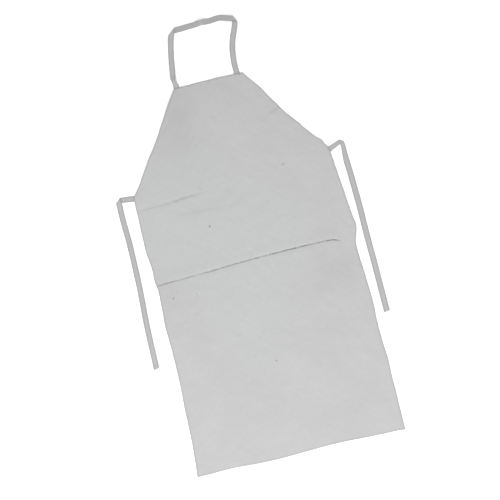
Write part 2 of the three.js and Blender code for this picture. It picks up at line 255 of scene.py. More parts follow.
class Nodes:
    """Short calls for building a material's nodes."""

    def __init__(self, name):
        self.material = bpy.data.materials.new(name)
        self.material.use_nodes = True
        self.tree = self.material.node_tree
        self.shader = self.tree.nodes["Principled BSDF"]

    def add(self, kind, **settings):
        node = self.tree.nodes.new(f"ShaderNode{kind}")
        for key, value in settings.items():
            setattr(node, key, value)
        return node

    def link(self, out, into):
        self.tree.links.new(out, into)

    def give(self, value, socket):
        """Sets a socket to a plain number or colour, or links it."""
        if isinstance(value, (int, float, tuple)):
            socket.default_value = value
        else:
            self.link(value, socket)

    def fact(self, name, output="Fac"):
        return self.add("Attribute", attribute_name=name).outputs[output]

    def vector(self, operation, source, value, output="Vector"):
        """A sum, product or distance of a linked vector and a fixed one."""
        node = self.add("VectorMath", operation=operation)
        node.inputs[1].default_value = value
        self.link(source, node.inputs[0])
        return node.outputs[output]

    def noise(self, where, size, detail, roughness):
        """Noise with spots about size metres across, from 0 to 1."""
        node = self.add("TexNoise")
        node.inputs["Scale"].default_value = 1 / size
        node.inputs["Detail"].default_value = detail
        node.inputs["Roughness"].default_value = roughness
        self.link(where, node.inputs["Vector"])
        return node.outputs["Fac"]

    def cells(self, where, size):
        """The distance from the middle of cells about size metres across, in cells."""
        node = self.add("TexVoronoi")
        node.inputs["Scale"].default_value = 1 / size
        self.link(where, node.inputs["Vector"])
        return node.outputs["Distance"]

    def ramp(self, value, low, high, to_low=0.0, to_high=1.0):
        """value from low to high becomes to_low to to_high, and stays there beyond."""
        node = self.add("MapRange", clamp=True)
        limits = {"From Min": low, "From Max": high, "To Min": to_low, "To Max": to_high}
        for key, number in limits.items():
            node.inputs[key].default_value = number
        self.link(value, node.inputs["Value"])
        return node.outputs["Result"]

    def math(self, operation, first, second):
        node = self.add("Math", operation=operation)
        for value, socket in zip((first, second), node.inputs):
            self.give(value, socket)
        return node.outputs["Value"]

    def mix(self, amount, first, second):
        """The first colour, turned into the second by amount."""
        node = self.add("Mix", data_type="RGBA")
        sockets = (node.inputs[0], node.inputs[6], node.inputs[7])
        for value, socket in zip((amount, first, second), sockets):
            self.give(value, socket)
        return node.outputs[2]

    def surface(self, colour, roughness, specular=0.5, sheen=0.0, normal=None):
        """Sets the shader: plain numbers on its own sockets, and the rest linked."""
        given = {"Base Color": colour, "Roughness": roughness, "Normal": normal}
        given.update({"Specular IOR Level": specular, "Sheen Weight": sheen})
        for name, value in given.items():
            if value is not None:
                self.give(value, self.shader.inputs[name])

    def bump(self, height, distance, strength, under=None):
        node = self.add("Bump")
        node.inputs["Distance"].default_value = distance
        node.inputs["Strength"].default_value = strength
        self.link(height, node.inputs["Height"])
        if under is not None:
            self.link(under, node.inputs["Normal"])
        return node.outputs["Normal"]


def linear(level):
    """The linear value of an 8-bit sRGB level."""
    return ((level / 255 + 0.055) / 1.055) ** 2.4


# How much brighter than its own colour the light shows a flat surface, undone in every colour here.
LIGHT_GAIN = 1.42


def shade(level, red=0, green=0, blue=0):
    """A colour that shows at about this 8-bit level under the scene's light, with a small tint."""
    return (*(linear(level + tint) / LIGHT_GAIN for tint in (red, green, blue)), 1)


# Blemishes on the sheet: place in plan, radius, and how much darker or lighter.
BLEMISHES = [
    ((0.152, 0.179), 0.0026, -80),
    ((-0.093, 0.058), 0.0028, -90),
    ((-0.242, -0.116), 0.0028, -85),
    ((-0.175, -0.119), 0.0024, -70),
    ((-0.228, -0.101), 0.0019, -45),
    ((-0.001, -0.357), 0.0025, -80),
    ((0.211, -0.262), 0.0021, -40),
    ((0.0945, 0.4565), 0.0026, -50),
    ((-0.281, -0.021), 0.0045, -26),
    ((-0.034, -0.033), 0.0035, 9),
    ((0.003, -0.032), 0.0038, 8),
    ((0.055, -0.094), 0.0042, 7),
]


def leather_front(name, level, seed, blemishes=()):
    """The finished side: fine even grain, faint clouds, a few blemishes, a darker cut edge, and painted
    shade along creases and in soft darker patches.
    """
    n = Nodes(name)
    rest = n.fact("rest", "Vector")
    where = n.vector("ADD", rest, (seed, seed * 0.37, 0))
    clouds = n.ramp(n.noise(where, 0.2, 2.0, 0.5), 0.36, 0.64)
    mottle = n.ramp(n.noise(where, 0.075, 2.0, 0.45), 0.35, 0.65)
    patches = n.ramp(n.noise(where, 0.03, 4.0, 0.6), 0.3, 0.7)
    fibres = n.ramp(n.noise(where, 0.0045, 5.0, 0.65), 0.3, 0.7)
    colour = n.mix(clouds, shade(level - 3), shade(level + 2))
    colour = n.mix(n.math("MULTIPLY", mottle, 0.35), colour, shade(level - 9))
    colour = n.mix(n.fact("cool"), colour, shade(level, -2.4, 2.2, 0.8))
    # Painted shade: darker where the sheet tilts away from the light and where the neck strap twists. The
    # straps also get an even, slightly darker tone here.
    colour = n.mix(n.math("MULTIPLY", n.fact("soiled"), 0.75), colour, shade(level - 14))
    colour = n.mix(n.math("MULTIPLY", patches, 0.3), colour, shade(level - 4, 1.5, 0, 0.4))
    colour = n.mix(n.math("MULTIPLY", fibres, 0.2), colour, shade(level - 14, 0.6, 0, -0.6))
    grain = n.cells(where, 0.0014)
    colour = n.mix(n.ramp(grain, 0.4, 0.8, 0, 0.45), colour, shade(level - 15))
    for place, radius, change in blemishes:
        away = n.vector("DISTANCE", rest, (*place, 0), "Value")
        ragged = n.math("ADD", away, n.math("MULTIPLY", fibres, radius * 0.7))
        spot = n.ramp(ragged, radius * 0.45, radius * 1.5, 1, 0)
        colour = n.mix(spot, colour, shade(level + change))
    # Painted shade: a dark, broken line where creases and folds fall into shadow.
    broken = n.ramp(n.noise(where, 0.013, 4.0, 0.7), 0.36, 0.56, 0.3, 1)
    colour = n.mix(n.math("MULTIPLY", n.fact("crease"), broken), colour, shade(level - 92))
    edge = n.ramp(n.fact("edge"), 0.0, 0.0055, 1, 0)
    frayed = n.ramp(n.noise(where, 0.006, 3.0, 0.6), 0.3, 0.7, 0.2, 0.65)
    colour = n.mix(n.math("MULTIPLY", edge, frayed), colour, shade(level - 58))
    pebbles = n.bump(n.math("SUBTRACT", 1, grain), 0.00045, 0.8)
    pores = n.bump(n.noise(where, 0.0006, 3.0, 0.6), 0.00025, 0.6, pebbles)
    waves = n.bump(n.noise(where, 0.018, 3.0, 0.5), 0.0006, 0.18, pores)
    roughness = n.ramp(fibres, 0, 1, 0.62, 0.82)
    n.surface(colour=colour, roughness=roughness, specular=0.32, sheen=0.08, normal=waves)
    return n.material


def leather_back(name, level, seed):
    """The flesh side: darker, matt and napped, with long soft streaks."""
    n = Nodes(name)
    where = n.vector("ADD", n.fact("rest", "Vector"), (seed, -seed, 0))
    drawn = n.vector("MULTIPLY", where, (1.0, 0.35, 1.0))
    nap = n.ramp(n.noise(drawn, 0.0016, 5.0, 0.7), 0.28, 0.72)
    streaks = n.ramp(n.noise(drawn, 0.05, 4.0, 0.6), 0.3, 0.7)
    colour = n.mix(streaks, shade(level - 6, 1), shade(level + 4, 1))
    colour = n.mix(n.math("MULTIPLY", nap, 0.4), colour, shade(level - 18, 1))
    edge = n.ramp(n.fact("edge"), 0.0, 0.003, 1, 0)
    colour = n.mix(n.math("MULTIPLY", edge, 0.4), colour, shade(level - 28, 1))
    fibres = n.bump(n.noise(drawn, 0.0007, 4.0, 0.7), 0.00035, 0.7)
    roughness = n.ramp(nap, 0, 1, 0.84, 0.96)
    n.surface(colour=colour, roughness=roughness, specular=0.2, sheen=0.2, normal=fibres)
    return n.material


def leather_edge(name, level):
    """The cut edge: pale, uneven fibre."""
    n = Nodes(name)
    where = n.fact("rest", "Vector")
    fibres = n.ramp(n.noise(where, 0.0012, 5.0, 0.7), 0.25, 0.75)
    colour = n.mix(fibres, shade(level - 20, 1), shade(level + 6, 1))
    rough = n.bump(n.noise(where, 0.0005, 4.0, 0.7), 0.0003, 0.8)
    n.surface(colour=colour, roughness=n.ramp(fibres, 0, 1, 0.8, 0.95), specular=0.2, normal=rough)
    return n.material


sheet_leather = [
    leather_front("sheet_front", 200, 0.0, BLEMISHES),
    leather_back("sheet_back", 184, 3.1),
    leather_edge("sheet_edge", 180),
]
strap_leather = [
    leather_front("strap_front", 191, 5.3),
    leather_back("strap_back", 178, 7.7),
    leather_edge("strap_edge", 170),
]

# ------------------------------------------------------------------ straps

STRAP_COLUMNS = 19
STRAP_STEP = 2.5 * MM
CORNER_BEVEL = 0.35 * MM


class Fold:
    """A strap folded under itself along a line in plan, around a small bend."""

    def __init__(self, point, incoming, outgoing, radius):
        self.point = np.array(point, float)
        self.radius = radius
        along = incoming + outgoing
        self.along = along / np.linalg.norm(along)
        self.beyond = np.array([-self.along[1], self.along[0]])
        self.beyond *= np.sign(self.beyond @ incoming)

    def unfold(self, plan):
        """Where points past the fold would lie if it were opened out flat."""
        distance = (plan - self.point) @ self.beyond
        return plan + (math.pi * self.radius - 2 * distance)[..., None] * self.beyond

    def over(self, plan, height):
        """Folds points, given in plan and by their height over the strap's middle plane."""
        distance = (plan - self.point) @ self.beyond
        turn = np.clip(distance / self.radius, 0, math.pi)
        straight = np.where(turn < math.pi, np.minimum(distance, 0), math.pi * self.radius - distance)
        reach = self.radius + height
        moved = straight + reach * np.sin(turn)
        folded = plan + (moved - distance)[..., None] * self.beyond
        return folded, reach * np.cos(turn) - self.radius


def strap_shape(columns):
    """How far each column's top and bottom lie from the strap's middle plane."""
    half = np.full(columns, STRAP_THICKNESS / 2)
    half[[0, -1]] -= CORNER_BEVEL
    return half


# Routes of the two uprights, across and up from each foot at the bib's edge, and of the top run, as
# its rise over a straight line at these shares of its span.
NECK_LEFT_ROUTE = np.array([(0, 0), (-4, 25), (-0.8, 46), (6.8, 92), (16.6, 136), (24.5, 158)]) * MM
NECK_RIGHT_ROUTE = np.array([(0, 0), (0.3, 40), (4.2, 70), (13.4, 101), (26, 131), (31.5, 148)]) * MM
NECK_TOP_RISE = np.array([0, 4.3, 7.4, 10.2, 11.3, 14.2, 8, 0]) * MM
NECK_TOP_PLACES = np.array([0, 0.14, 0.31, 0.49, 0.62, 0.775, 0.9, 1])
TIGHT_BEND = (STRAP_THICKNESS + CLEARANCE) / 2
LOOSE_BEND = 1.7 * MM
# How far before a folded corner the strap starts to rise, and over what length.
RISE_STARTS, RISE_LENGTH = 46 * MM, 28 * MM


def foot(node):
    low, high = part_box(node)
    return np.array([(low.x + high.x) / 2, high.y])


def neck_strap():
    left_foot = foot("neck_strap_left_tail")
    right_foot = foot("neck_strap_right_tail")
    left = left_foot + NECK_LEFT_ROUTE
    right = right_foot + NECK_RIGHT_ROUTE
    span = right[-1] - left[-1]
    top = left[-1] + NECK_TOP_PLACES[:, None] * span
    top[:, 1] += NECK_TOP_RISE

    def towards(a, b):
        return (b - a) / np.linalg.norm(b - a)

    first = Fold(left[-1], towards(left[-2], left[-1]), towards(top[0], top[1]), TIGHT_BEND)
    second = Fold(right[-1], towards(top[-2], top[-1]), towards(right[-1], right[-2]), LOOSE_BEND)
    tail = np.array([0, -SEWN_TAIL])
    down_right = np.array([*right[::-1], right_foot + tail / 2, right_foot + tail])
    flat = [left_foot + tail, left_foot + tail / 2, *left]
    flat += list(first.unfold(top[1:-1]))
    flat += list(first.unfold(second.unfold(down_right)))
    line = Line(flat)
    corners = [line.nearest(left[-1]), line.nearest(first.unfold(right[-1:])[0])]
    feet = [SEWN_TAIL, line.length - SEWN_TAIL]
    dense = [(corners[0], 14 * MM), (corners[1], 16 * MM), (feet[0], 7 * MM), (feet[1], 7 * MM)]
    s = spaced(line.length, STRAP_STEP, 0.6 * MM, dense)
    v = across(STRAP_WIDTH, STRAP_COLUMNS, CORNER_BEVEL)
    centre = line.at(s)
    along = line.direction(s)
    side = np.stack([along[:, 1], -along[:, 0]], axis=1)
    wobble = 1 + 0.03 * sway(s, 4.2, 0.02)
    for pinch, width in ((corners[0], 9 * MM), (corners[1], 9 * MM), (feet[0] + 17 * MM, 8 * MM)):
        wobble -= 0.16 * bell(s, pinch, width)
    flat_plan = centre[:, None] + v[None, :, None] * (side * wobble[:, None])[:, None]

    # Roll about the strap's own line, where it leaves the bib's corners and half way along the top.
    middle = corners[0] + 0.47 * (corners[1] - corners[0])
    roll = math.radians(40) * bell(s, feet[0] + 20 * MM, 12 * MM)
    roll -= math.radians(35) * bell(s, middle, 12 * MM)
    roll -= math.radians(16) * bell(s, feet[1] - 60 * MM, 24 * MM)
    roll += math.radians(5) * sway(s, 1.7, 0.045) * smoothstep((s - feet[0]) / 0.03)

    # Each corner folds under the strap, so the strap rises a little on the way to it.
    late = s > (corners[0] + corners[1]) / 2
    first_up = 2 * TIGHT_BEND * smoothstep((s - corners[0] + RISE_STARTS) / RISE_LENGTH)
    second_up = 2 * LOOSE_BEND * smoothstep((s - corners[1] + RISE_STARTS) / RISE_LENGTH)
    free = smoothstep((s - feet[0] - 4 * MM) / (20 * MM))
    free *= smoothstep((feet[1] - 4 * MM - s) / (20 * MM))
    loose = 0.5 * MM * (1 + sway(s, 9.1, 0.06)) * free
    clear = np.abs(np.sin(roll)) * STRAP_WIDTH / 2 + loose + STRAP_THICKNESS / 2

    def folded(plan, height):
        """Folds points at both corners of the strap, and gives them in plan and by height."""
        plan, z = first.over(plan, np.broadcast_to(height, plan.shape[:2]))
        again, again_z = second.over(plan, z + 2 * TIGHT_BEND)
        plan = np.where(late[:, None, None], again, plan)
        return plan, np.where(late[:, None], again_z + second_up[:, None], z + first_up[:, None])

    def laid(height):
        """One side of the strap, folded and then rolled about its own line."""
        axis, axis_z = folded(centre[:, None], 0.0)
        plan, z = folded(flat_plan, height)
        run = np.gradient(axis[:, 0], axis=0)
        run = run / np.maximum(np.linalg.norm(run, axis=1, keepdims=True), 1e-9)
        sideways = np.stack([run[:, 1], -run[:, 0]], axis=1)
        out = np.einsum("ijk,ik->ij", plan - axis, sideways)
        lift = z - axis_z
        cos, sin = np.cos(roll)[:, None], np.sin(roll)[:, None]
        plan = plan + (out * (cos - 1) - lift * sin)[..., None] * sideways[:, None]
        z = axis_z + out * sin + lift * cos + clear[:, None]
        return raised(plan, z)

    half = strap_shape(len(v))
    edge = np.minimum(STRAP_WIDTH / 2 - np.abs(v), np.minimum(s, line.length - s)[:, None])
    top_side, bottom_side = laid(half), laid(-half)
    # Painted shade darkens the top run, most of all where it twists, and the whole strap gets a slightly
    # darker tone.
    top_run = smoothstep((s - corners[0]) / (8 * MM)) * smoothstep((corners[1] - s) / (8 * MM))
    soiled = 0.4 + 0.35 * top_run + 0.6 * bell(s, middle + 17 * MM, 12 * MM)
    soiled += 0.35 * bell(s, corners[0] + 40 * MM, 16 * MM)
    # Painted shade: a dark line along one side of the strap where it rolls over.
    painted_shade_line = 0.3 * bell(s, middle - 10 * MM, 9 * MM)[:, None] * bell(v, 6 * MM, 2.4 * MM)[None]
    facts = {"rest": raised(flat_plan, 0), "edge": edge, "crease": painted_shade_line}
    facts["soiled"] = soiled[:, None] + 0 * painted_shade_line
    piece = slab("neck_strap", top_side, bottom_side, strap_leather, **facts)
    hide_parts("neck_strap_left_tail", "neck_strap_right_tail")
    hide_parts("neck_strap_left_run", "neck_strap_top_run", "neck_strap_right_run")
    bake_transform(piece)


DOWN = np.array([0.0, -1.0])
FOLD_ROUNDING = 1.4 * MM
# How far from the fold a tie's rows turn from lying along the fold to lying square across it.
SKEW_FADE = 18 * MM
# How far from its free end a tie's rows start to turn askew.
ASKEW_LENGTH = 10 * MM
# The way that a blunted corner is pressed back from, and how far past the fold's middle that starts.
CROWN = np.array([math.sin(APRON_LEAN), math.cos(APRON_LEAN)])
CROWN_RISE = 0.5 * MM


class Tie:
    """A waist tie: a sewn end out from the waist to a fold, and a free run down from there.

    reach is the distance from the sheet to the fold. wander gives how far out the free run has drifted
    at each drop below the fold, in millimetres. askew is how much longer its right side is than its left.
    narrowing is the share of its width that it loses at the fold, and how far from the fold that reaches.
    """

    def __init__(self, side, seed, reach, wander, askew, narrowing, breadth=1, bluntness=0):
        joint = joints[f"{side}_tie_unfold"]
        self.side, self.seed = side, seed
        self.body = joint["child"]
        self.fold_point = np.array(joint["pos_m"][:2])
        along = np.array(joint["axis"][:2])
        # The sewn end and the free run mirror each other about the line along the fold.
        self.outward = 2 * (along @ DOWN) * along - DOWN
        self.along = along * np.sign(along @ self.outward)
        self.beyond = np.array([-self.along[1], self.along[0]])
        self.beyond *= np.sign(self.beyond @ self.outward)
        sign = np.sign(self.outward[0])
        drift, drop = np.array(wander).T * MM
        self.run = self.fold_point + np.stack([sign * drift, -drop], axis=1)
        self.inner = self.fold_point - (reach + SEWN_TAIL) * self.outward
        self.askew, self.breadth = askew, breadth
        self.narrowing, self.bluntness = narrowing, bluntness

    def fold_skew(self, direction):
        """How far a point shifts along the strap, for each metre across it, to lie on the fold line."""
        side = np.array([direction[1], -direction[0]])
        return (self.along @ direction) / (self.along @ side)

    def from_fold(self, plan):
        return np.abs((plan - self.fold_point) @ self.beyond)

    def taper(self, plan):
        """The share of its full width that the strap has at these points, less towards the fold."""
        share, length = self.narrowing
        return self.breadth * (1 - share * (1 - smoothstep(self.from_fold(plan) / length)))

    def blunted(self, plan):
        """Presses the fold's outer corner blunt where it stands up past the fold's middle."""
        over = np.maximum((plan - self.fold_point) @ CROWN - CROWN_RISE, 0)
        return plan - (self.bluntness * over)[..., None] * CROWN

    def shaped(self, plan, centre, wobble=1):
        """Brings points of a full strip in to the tie's own width, and blunts its fold."""
        width = wobble * self.taper(plan)
        return self.blunted(centre + (plan - centre) * width[..., None])

    def rounding(self, plan):
        """How much the outside of the fold is rounded off at these points."""
        distance = self.from_fold(plan) - CLEARANCE / 2
        inside = np.clip(FOLD_ROUNDING - distance, 0, FOLD_ROUNDING)
        return FOLD_ROUNDING - np.sqrt(np.maximum(FOLD_ROUNDING**2 - inside**2, 0))


def strip_points(line, s, v, shift):
    """Points of a flat strip in plan, each moved along the strip by its own shift."""
    place = s[:, None] + shift
    centre = line.at(place)
    along = line.direction(np.broadcast_to(s[:, None], place.shape))
    side = np.stack([along[..., 1], -along[..., 0]], axis=-1)
    return centre + v[None, :, None] * side, place


def tie_free_run(tie):
    line = Line(tie.run)
    s = spaced(line.length, STRAP_STEP, 0.2 * MM, [(0, 1.6 * MM)])
    v = across(STRAP_WIDTH, STRAP_COLUMNS, CORNER_BEVEL)
    skew = tie.fold_skew(line.direction(np.array(0.0)))
    start = CLEARANCE / 2 / abs(tie.beyond @ line.direction(np.array(0.0)))
    near_fold = 1 - smoothstep(s / SKEW_FADE)
    near_end = smoothstep((s - line.length + ASKEW_LENGTH) / ASKEW_LENGTH)
    shift = near_fold[:, None] * (start + skew * v[None])
    shift = shift - near_end[:, None] * tie.askew * (v[None] / STRAP_WIDTH)
    wobble = 1 + 0.03 * sway(s, tie.seed, 0.025)[:, None] * np.minimum(1, s / 0.02)[:, None]
    plan, place = strip_points(line, s, v, shift)
    plan = tie.shaped(plan, line.at(place), wobble)
    lower_edge = STRAP_WIDTH / 2 * (1 + abs(tie.outward[1])) / abs(tie.outward[0])
    down = smoothstep((place - lower_edge - 2 * CLEARANCE) / (22 * MM))
    free = smoothstep((place - 30 * MM) / (40 * MM))
    loose = free * 0.7 * MM * (1 + sway(place, tie.seed + 1, 0.09))
    level = POCKET_TOP * (1 - down) + loose
    roll = free * math.radians(5) * sway(place, tie.seed + 2, 0.12)
    curl = 2.2 * MM * smoothstep((place - line.length + 45 * MM) / (60 * MM)) ** 2
    level = level + curl + np.abs(np.sin(roll)) * STRAP_WIDTH / 2 + v[None] * np.sin(roll)
    half = strap_shape(len(v))[None]
    middle = level + STRAP_THICKNESS / 2
    top = raised(plan, middle + half - tie.rounding(plan))
    bottom = raised(plan, middle - half)
    edge = np.broadcast_to(STRAP_WIDTH / 2 - np.abs(v), place.shape)
    # Painted shade: the free run darkens right next to its fold.
    painted_shade_line = 0.08 * (1 - smoothstep(tie.from_fold(plan) / (4 * MM)))
    facts = {"rest": raised(plan, 0), "edge": edge, "crease": painted_shade_line}
    piece = slab(f"{tie.side}_tie", top, bottom, strap_leather, **facts)
    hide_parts(f"{tie.side}_tie_free_run")
    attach(piece, tie.body)
    path = (top[:, len(v) // 2] + bottom[:, len(v) // 2]) / 2
    return piece, path


def tie_root(tie):
    """The sewn end: flat under the sheet's edge, and out to the fold."""
    line = Line([tie.inner, tie.inner + SEWN_TAIL * tie.outward, tie.fold_point])
    s = line.length - spaced(line.length, STRAP_STEP, 0.2 * MM, [(0, 1.6 * MM)])[::-1]
    v = across(STRAP_WIDTH, STRAP_COLUMNS, CORNER_BEVEL)
    near_fold = smoothstep((s - line.length + SKEW_FADE) / SKEW_FADE)
    start = CLEARANCE / 2 / abs(tie.beyond @ tie.outward)
    shift = near_fold[:, None] * (tie.fold_skew(tie.outward) * v[None] - start)
    plan, place = strip_points(line, s, v, shift)
    plan = tie.shaped(plan, line.at(place))
    half = strap_shape(len(v))[None]
    top = raised(plan, STRAP_THICKNESS / 2 + half)
    bottom = raised(plan, STRAP_THICKNESS / 2 - half + tie.rounding(plan))
    edge = np.broadcast_to(STRAP_WIDTH / 2 - np.abs(v), place.shape)
    facts = {"rest": raised(plan, 0), "edge": edge, "crease": edge * 0}
    piece = slab(f"{tie.side}_tie_root", top, bottom, strap_leather, **facts)
    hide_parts(f"{tie.side}_tie_sewn_end")
    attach(piece, "bib")
    return piece


def make_tie(tie):
    root = tie_root(tie)
    run, path = tie_free_run(tie)


LEFT_WANDER = [(0, 0), (0.4, 60), (-1.4, 122), (-0.6, 200), (0.6, 244), (7, 366), (9.8, 490)]
RIGHT_WANDER = [(0, 0), (1.8, 22), (1.2, 40), (0.9, 57), (1.5, 75), (2.5, 92), (3.5, 127), (5.2, 190)]
RIGHT_WANDER += [(5.4, 252), (7.4, 378), (8.6, 502)]

neck_strap()
ties = [
    Tie("left", 2.3, 42 * MM, LEFT_WANDER, askew=-2.5 * MM, narrowing=(0.1, 13 * MM)),
    Tie("right", 6.1, 41 * MM, RIGHT_WANDER, -2 * MM, (0.32, 58 * MM), breadth=1.06, bluntness=0.75),
]
for tie in ties:
    make_tie(tie)

# ------------------------------------------------------------------ the sheet

MIDDLE_X = joints["skirt_fold"]["pos_m"][0]
SHEET_WIDTH, MEAN_LENGTH = 0.6, 1.084
COARSE, FINE = 3.6 * MM, 0.8 * MM
WAIST_DROP = 0.268
# The sheet's top edge bows only above this drop, and its hem slants only below the other.
TOP_BOW_ENDS, HEM_SLANT_STARTS = 0.12, 0.75
# How far each side stands from the middle, at each drop below the bib's top edge, in millimetres.
LEFT_SIDE = [
    (0, 100), (60, 140), (100, 165.4), (140, 191), (180, 220.2), (220, 247), (250, 267.3),
    (262, 277), (272, 284.5), (290, 285.5), (375, 287.6), (430, 288.5), (488, 283.8), (513, 284.9),
    (545, 281.6), (580, 282.2), (650, 286.7), (716, 284.8), (784, 284.7), (897, 289.5),
    (1011, 293.9), (1080, 300.5),
]
RIGHT_SIDE = [
    (0, 99), (60, 142), (100, 166), (140, 191.1), (180, 222), (218, 249), (230, 258.5), (243, 273),
    (254, 277.5), (264, 284.4), (274, 286.6), (330, 292.8), (432, 301.8), (470, 305.3),
    (505, 308.4), (522, 303.8), (545, 296.6), (568, 296.1), (631, 299), (710, 302.8), (795, 300.9),
    (858, 303), (900, 304.9), (940, 303.8), (1000, 304.4), (1095, 304.2),
]
# The drop of the hem, and the rise of the bib's top edge, at each place across.
HEM = [(-301, 1086.3), (-240, 1085.6), (-200, 1085.2), (-111, 1090.6), (-60, 1091.5), (0, 1090.2)]
HEM += [(40, 1089), (80, 1088.3), (120, 1088.5), (173, 1091), (240, 1094), (270, 1094.5), (301, 1096.5)]
TOP_BOW = [(-101, 0), (-84, 0), (-30, 1.4), (-6, 1.5), (39, 1.4), (62, 0), (80, -1), (99, -1)]
# Each crease's drop at each place across, and how marked it is there.
MAIN_CREASE = [(-286, 531), (-119, 526.5), (-34, 522.8), (60, 521.2), (180, 521.6), (222, 522.8)]
MAIN_CREASE += [(238, 525), (257, 533)]
MAIN_MARK = [(-284, 0.8), (-240, 0.75), (-190, 0.6), (-150, 0.45), (-118, 1), (-96, 0.7), (-62, 0.85)]
MAIN_MARK += [(-30, 0.8), (30, 0.85), (70, 1), (150, 1), (185, 0.6), (225, 1), (246, 0.9), (258, 0)]
UPPER_CREASE = [(-280, 313), (-200, 310.5), (-130, 306), (-60, 306)]
UPPER_MARK = [(-280, 0.3), (-250, 0.45), (-200, 0.5), (-150, 1), (-110, 0.6), (-62, 0)]
UPPER_CREASE_DROP = 0.307
# The short crease on the right of the bib: its middle, across and down, and its direction.
SHORT_CREASE = (0.149, 0.1315)
SHORT_CREASE_COS, SHORT_CREASE_SIN = 0.953, 0.302
# Soft spots of colour: where across, how wide, how far down, how tall, and how strong.
COOL_SPOTS = [
    (-0.15, 0.14, 0.36, 0.17, 1),
    (-0.03, 0.1, 0.62, 0.2, 0.9),
    (0.09, 0.09, 0.46, 0.1, 0.7),
]
# Painted shade: soft darker patches at the bib's top, around the main crease and near the hem.
PAINTED_SHADE_SPOTS = [
    (-0.13, 0.08, 0.09, 0.11, 1),
    (0.23, 0.09, 0.6, 0.07, 0.7),
    (0.02, 0.1, 0.03, 0.06, 0.4),
    (-0.24, 0.06, 0.56, 0.04, 0.5),
    (0.2, 0.08, 1.0, 0.05, 0.5),
    (-0.1, 0.07, 0.35, 0.02, 0.4),
]


def from_pairs(pairs, unit=MM):
    """A smooth function through pairs of a place in millimetres and a value in this unit."""
    pairs = np.array(pairs, float)
    return through(pairs[:, 0] * MM, pairs[:, 1] * unit)


left_side, right_side = from_pairs(LEFT_SIDE), from_pairs(RIGHT_SIDE)
hem, top_bow = from_pairs(HEM), from_pairs(TOP_BOW)
main_crease, main_mark = from_pairs(MAIN_CREASE), from_pairs(MAIN_MARK, 1)
upper_crease, upper_mark = from_pairs(UPPER_CREASE), from_pairs(UPPER_MARK, 1)
crease_drop = main_crease(np.array(0.0))


def sheet_plan(nominal, share):
    """Points of the sheet, for rows at these nominal drops and columns at these shares of the width.

    The rows follow the hem, the bib's top edge and the main crease, each near its own place.
    """
    rough_x = (share[None] * 2 - 1) * SHEET_WIDTH / 2
    drop = np.broadcast_to(nominal[:, None], (len(nominal), len(share))).copy()
    width = left_side(nominal) + right_side(nominal)
    width_x = -left_side(nominal)[:, None] + share[None] * width[:, None]
    near_hem = smoothstep((nominal - HEM_SLANT_STARTS) / (MEAN_LENGTH - HEM_SLANT_STARTS))
    drop += (hem(rough_x) - MEAN_LENGTH) * near_hem[:, None]
    drop -= top_bow(rough_x / 3) * (1 - smoothstep(nominal / TOP_BOW_ENDS))[:, None]
    near_crease = bell(nominal, crease_drop, 45 * MM)[:, None]
    drop += (main_crease(width_x) - crease_drop) * near_crease
    left, right = -left_side(drop), right_side(drop)
    x = left + share[None] * (right - left)
    return x, drop


def side_wobble(drop, seed):
    """How far the hand-cut side edge strays from its outline."""
    fine = 0.45 * MM * sway(drop, seed, 0.009)
    return fine + 0.6 * MM * sway(drop, seed + 1, 0.035)


def tail_distance(x, y):
    """The distance in plan from the nearest strap end under the sheet."""
    best = np.full(x.shape, 1.0)
    ends = [(foot(f"neck_strap_{side}_tail"), -DOWN) for side in ("left", "right")]
    ends += [(tie.inner + SEWN_TAIL * tie.outward, tie.outward) for tie in ties]
    for edge_point, outward in ends:
        away = np.stack([x - edge_point[0], y - edge_point[1]], axis=-1)
        along = away @ outward
        aside = np.abs(away @ np.array([outward[1], -outward[0]])) - STRAP_WIDTH / 2
        behind = -SEWN_TAIL - along
        gap = np.hypot(np.maximum(aside, 0), np.maximum(behind, 0))
        best = np.minimum(best, gap)
    return best


def off_main(x, drop):
    """How far each point lies below the main crease, which wanders a little like any pressed fold."""
    wander = 0.9 * MM * sway(x, 2.9, 0.022) + 0.5 * MM * sway(x, 4.9, 0.008)
    return drop - main_crease(x) - wander


def valley(away, mark, height, near, far):
    """The rise of the sheet on both sides of a pressed fold, which itself lies on the table."""
    reach = np.abs(away)
    return height * mark * (1 - np.exp(-reach / near)) * np.exp(-((reach / far) ** 1.5))


def from_short_crease(x, drop):
    """How far each point lies along the bib's short crease from its middle, and to the side of it."""
    across, down = x - SHORT_CREASE[0], drop - SHORT_CREASE[1]
    along = across * SHORT_CREASE_COS - down * SHORT_CREASE_SIN
    aside = across * SHORT_CREASE_SIN + down * SHORT_CREASE_COS
    return along, aside


def relief(x, drop):
    """How high the underside of the sheet lies over the table."""
    mark = main_mark(x)
    below = off_main(x, drop)
    height = valley(below, mark, np.where(below < 0, 2.4, 1.5) * MM, 5 * MM, 55 * MM)
    over = drop - upper_crease(x)
    height += valley(over, upper_mark(x), np.where(over < 0, 1.5, 1.0) * MM, 5 * MM, 40 * MM)
    along, aside = from_short_crease(x, drop)
    beside = np.abs(np.tanh(aside / (4 * MM))) * bell(aside, 0, 20 * MM)
    height += 1.6 * MM * bell(along, 0.012, 0.03) * beside
    return height


def waves(x, drop):
    """The slight unevenness of a hide that has been folded and opened again."""
    return 1.2 * MM * (1 + ripple(x, drop, 0.7, 0.16)) + 0.35 * MM * (1 + ripple(x, drop, 5.7, 0.06))


def under_tails(x, drop):
    """1 over the strap ends sewn under the sheet, falling to 0 a little way from them."""
    gap = tail_distance(MIDDLE_X + x, BIB_EDGE - drop)
    return 1 - smoothstep((gap - 0.8 * MM) / (20 * MM))


